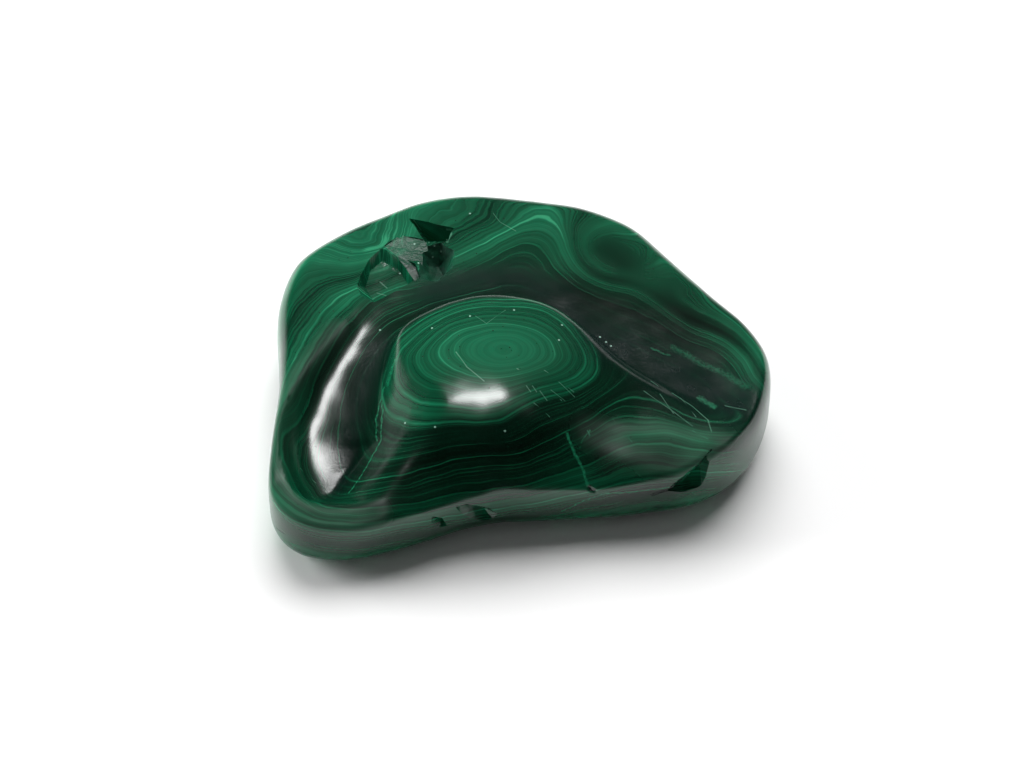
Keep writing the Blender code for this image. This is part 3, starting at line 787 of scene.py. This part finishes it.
def malachite(tree):
    m = Nodes("malachite")
    where = m.add("VectorMath", {0: m.add("TexCoord", output=3), "Scale": 1 / mm}, operation="SCALE")
    dullAndShaded, calm = m.attribute("dullAndShaded"), m.attribute("calm")
    broken = m.math("MINIMUM", m.attribute("broken"), 1.0)
    glassy = m.math("SUBTRACT", m.attribute("broken"), 1.0, clamp=True)
    wander = m.math("MULTIPLY", m.math("SUBTRACT", m.noise(where, 0.11, 2.0), 0.5), banding["wander"])
    wiggle = m.math("MULTIPLY", m.math("SUBTRACT", m.noise(where, 0.5, 1.0), 0.5), banding["wiggle"])
    along = m.math("ADD", m.attribute("growth"), m.math("ADD", wander, wiggle))
    cloud = m.noise(where, 0.13, 2.0, 0.55)

    # layers: broad tone by growth, then bands, fine bands and single thin lines
    profile = m.ramp(m.math("MULTIPLY", along, 1 / banding["reach"]), banding["tones"])
    height = m.add("SeparateXYZ", {"Vector": where}, 2)
    footLitShare = m.math("MULTIPLY_ADD", height, -0.3, 1.3, clamp=True)      # painted light: a lighter, greener strip along the foot of the walls
    tone = m.math("MULTIPLY_ADD", footLitShare, banding["paintedFootLight"], m.math("ADD", profile, m.attribute("shade")))
    contrast = m.math("MULTIPLY", m.math("SUBTRACT", 1.0, calm), m.math("MULTIPLY_ADD", cloud, 1.2, 0.3))
    for scale, offset, detail, amount in banding["bands"]:
        layer = m.math("MULTIPLY_ADD", m.layers(along, scale, offset, detail), amount, -amount / 2)
        tone = m.math("MULTIPLY_ADD", layer, contrast, tone)
    hair = m.math("ABSOLUTE", m.math("SUBTRACT", m.layers(along, 1.5, 53.0), 0.5))
    hair = m.math("MULTIPLY_ADD", hair, -16.0, 1.0, clamp=True)
    tone = m.math("MULTIPLY_ADD", m.math("MULTIPLY", hair, banding["hair"]), contrast, tone)
    fade = m.math("MULTIPLY_ADD", m.noise(where, 0.16, 1.0), 2.4, -0.25, clamp=True)
    lines = 0.0
    for at, width, amount in accents.values():
        near = m.math("ABSOLUTE", m.math("SUBTRACT", along, at))
        line = m.math("MULTIPLY_ADD", near, -1 / width, 1.0, clamp=True)
        lines = m.math("MULTIPLY_ADD", line, amount, lines)
    lively = m.math("MULTIPLY_ADD", m.math("MULTIPLY", calm, calm), -1.2, 1.0, clamp=True)
    fade = m.math("MULTIPLY", fade, lively)
    tone = m.math("MULTIPLY_ADD", lines, fade, tone)
    colour = m.ramp(tone, [(0.0, polish["dark"]), (0.26, polish["deep"]), (0.56, polish["middle"]),
                           (0.82, polish["bright"]), (1.0, polish["pale"])])

    # dull ground: darker grey-green smears where the polish stops, partly its own colour and partly painted
    # shade in the valley, hollow and groove
    smear = m.math("MULTIPLY_ADD", m.noise(where, 0.3, 4.0, 0.65), 2.4, -0.6, clamp=True)
    dullShadedShare = m.math("MULTIPLY", dullAndShaded, m.math("MULTIPLY_ADD", smear, 0.6, 0.4), clamp=True)
    colour = m.mix(dullShadedShare, colour, polish["shadedSlate"])
    colour = m.mix(m.math("MULTIPLY", glassy, m.math("MULTIPLY", smear, 0.8)), colour, polish["glass"])

    # drawn lines, specks and painted glints, and polish pits
    nudge = m.add("VectorMath", {0: m.add("TexNoise", {"Vector": where, "Scale": 0.9, "Detail": 2.0}, 1),
                                 1: (0.5, 0.5, 0.5)}, operation="SUBTRACT")
    bent = m.add("VectorMath", {0: nudge, 1: (0.7, 0.7, 0.7), 2: where}, operation="MULTIPLY_ADD")
    veins = m.math("MULTIPLY", m.drawn(bent, strokes["veins"], tree), 1.7, clamp=True)
    faint = m.math("MULTIPLY_ADD", m.noise(where, 2.2, 3.0), 2.2, -0.45, clamp=True)
    veins = m.math("MULTIPLY", veins, faint)
    scratchesAndGlints = m.drawn(where, strokes["scratchesAndGlints"], tree)
    cracks = m.math("MULTIPLY", m.drawn(bent, strokes["cracks"], tree), 2.0, clamp=True)
    speckGlintShare = 0.0
    for place in picturePoints(specksAndGlints, tree) - middle:
        spot = m.math("MULTIPLY_ADD", m.away(where, place), -6.0, 1.4)      # gone at 0.23 mm
        speckGlintShare = m.math("MAXIMUM", spot, speckGlintShare)
    cells = m.add("TexVoronoi", {"Vector": where, "Scale": polish["pitCells"]}, voronoi_dimensions="3D")
    chance = m.noise(where, 0.9, 0.0)
    pitted = m.attribute("pitted")
    radius, level = (m.math("MULTIPLY_ADD", pitted, polish[name][1], polish[name][0])
                     for name in ("pitRadius", "pitLevel"))
    pits = m.math("MULTIPLY", m.math("LESS_THAN", cells, radius), m.math("GREATER_THAN", chance, level))
    colour = m.mix(veins, colour, polish["vein"])
    colour = m.mix(m.math("MULTIPLY", scratchesAndGlints, 0.55), colour, polish["scratchAndGlint"])
    colour = m.mix(m.math("MINIMUM", speckGlintShare, 1.0), colour, polish["speckAndGlint"])
    colour = m.mix(m.math("MAXIMUM", cracks, m.math("MULTIPLY", pits, 0.6)), colour, polish["pit"])
    m.put(m.shader.inputs["Base Color"], colour)

    lowest = polish["roughness"] - polish["uneven"] / 2
    rough = m.math("MULTIPLY_ADD", m.noise(where, 0.5, 4.0, 0.7), polish["uneven"], lowest)
    rough = m.math("MULTIPLY_ADD", dullShadedShare, polish["dullAndShaded"], rough)
    rough = m.math("MULTIPLY_ADD", m.attribute("matte"), polish["matte"], rough)
    rough = m.math("MULTIPLY_ADD", scratchesAndGlints, polish["scratched"], rough)
    rough = m.math("MULTIPLY_ADD", glassy, polish["glassy"], rough)
    m.put(m.shader.inputs["Roughness"], rough)
    m.put(m.shader.inputs["IOR"], polish["ior"])

    # relief in millimetres
    relief = m.math("MULTIPLY", m.noise(where, 2.5, 3.0), polish["grain"])
    worn = m.math("MULTIPLY", dullShadedShare, m.noise(where, 1.6, 5.0, 0.7))
    relief = m.math("MULTIPLY_ADD", worn, polish["dullRelief"], relief)
    crazed = m.math("MULTIPLY", broken, polish["breakRelief"])
    crazed = m.math("MULTIPLY_ADD", glassy, polish["glassyRelief"], crazed)
    relief = m.math("MULTIPLY_ADD", m.noise(where, 1.1, 4.0, 0.6), crazed, relief)
    relief = m.math("MULTIPLY_ADD", cracks, -polish["crackDepth"], relief)
    relief = m.math("MULTIPLY_ADD", pits, -polish["pitDepth"], relief)
    m.put(m.shader.inputs["Normal"], m.add("Bump", {"Height": relief, "Distance": mm, "Strength": 1.0}))
    return m.material


stone.data.materials.clear()
stone.data.materials.append(malachite(sightTree))
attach(stone, "root")
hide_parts("malachite_freeform")
print("stone finished")


# Table, light and camera
studio = {
    "floorSize": 3.0,
    "floorColour": (0.9, 0.9, 0.9, 1),
    "softboxPlace": (-0.03, 0.08, 0.61),    # the light seen in the highlights
    "softboxSize": 0.17,
    "softboxPower": 1.5,
    # broad lights that cast the shadow: direction they come from, angle across, strength
    "suns": {"back": ((0.09, 0.71, 0.70), 60.0, 4.6), "left": ((-0.89, 0.37, 0.26), 36.0, 4.0),
             "front": ((0.0, -0.6, 0.8), 120.0, 0.22)},
    "skyLow": 1.0,              # brightness of the surroundings at the horizon
    "skyHigh": 0.02,            # and overhead
    "skyFront": 0.06,           # and behind the camera
    "skyRise": (0.05, 0.32),    # heights of a direction, as sines, between which it darkens
    "skyTurn": (-0.5, -0.1),    # the same towards the camera's side
}


def addFloor():
    half = studio["floorSize"] / 2
    corners = np.array([(-half, -half, 0), (half, -half, 0), (half, half, 0), (-half, half, 0)])
    floor = addMesh("floor", corners, [(0, 1, 2, 3)])
    m = Nodes("floor")
    m.put(m.shader.inputs["Base Color"], studio["floorColour"])
    m.put(m.shader.inputs["Roughness"], 0.9)
    m.put(m.shader.inputs["Specular IOR Level"], 0.0)
    floor.data.materials.append(m.material)


def aim(item, back):
    # lamps and cameras look down their own Z axis, so that axis is turned to point back
    item.rotation_euler = Vector(back).to_track_quat("Z", "Y").to_euler()


def addLight(name, kind, back, settings):
    # a lamp at the place back, shining at the origin
    light = bpy.data.lights.new(name, kind)
    for key, value in settings.items():
        setattr(light, key, value)
    lamp = bpy.data.objects.new(name, light)
    lamp.location = back
    aim(lamp, back)
    bpy.context.scene.collection.objects.link(lamp)
    return lamp


def addSky():
    # white round the horizon at the back and sides, dark overhead and behind the camera
    world = bpy.data.worlds.new("studio")
    world.use_nodes = True
    bpy.context.scene.world = world
    tree = world.node_tree
    direction = tree.nodes.new("ShaderNodeTexCoord")
    split = tree.nodes.new("ShaderNodeSeparateXYZ")
    tree.links.new(direction.outputs["Generated"], split.inputs[0])
    levels = (("Z", studio["skyRise"], studio["skyLow"], studio["skyHigh"]),
              ("Y", studio["skyTurn"], studio["skyFront"], 1.0))
    faded = []
    for axis, reach, first, last in levels:
        fade = tree.nodes.new("ShaderNodeMapRange")
        for socket, value in zip(fade.inputs[1:5], (*reach, first, last)):
            socket.default_value = value
        tree.links.new(split.outputs[axis], fade.inputs[0])
        faded.append(fade.outputs[0])
    product = tree.nodes.new("ShaderNodeMath")
    product.operation = "MULTIPLY"
    for socket, value in zip(product.inputs, faded):
        tree.links.new(value, socket)
    tree.links.new(product.outputs[0], tree.nodes["Background"].inputs["Color"])


def addCamera():
    raised = math.radians(view["elevation"])
    back = Vector((0, -math.cos(raised), math.sin(raised)))
    distance = view["lens"] * view["width"] / view["sensor"] / view["pixelsPerMm"]
    camera = bpy.data.cameras.new("camera")
    camera.lens = view["lens"]
    camera.sensor_width = view["sensor"]
    item = bpy.data.objects.new("camera", camera)
    item.location = (Vector(view["target"]) - Vector(middle) + back * distance) * mm
    aim(item, back)
    bpy.context.scene.collection.objects.link(item)
    bpy.context.scene.camera = item


addFloor()
softbox = addLight("softbox", "AREA", studio["softboxPlace"], {"energy": studio["softboxPower"],
                                                               "size": studio["softboxSize"],
                                                               "shape": "DISK"})
softbox.visible_diffuse = False
for name, (direction, angle, strength) in studio["suns"].items():
    sun = addLight(name, "SUN", direction, {"energy": strength, "angle": math.radians(angle)})
    sun.visible_glossy = False
addSky()
addCamera()
bpy.context.scene.view_settings.view_transform = "Standard"
print("studio ready")
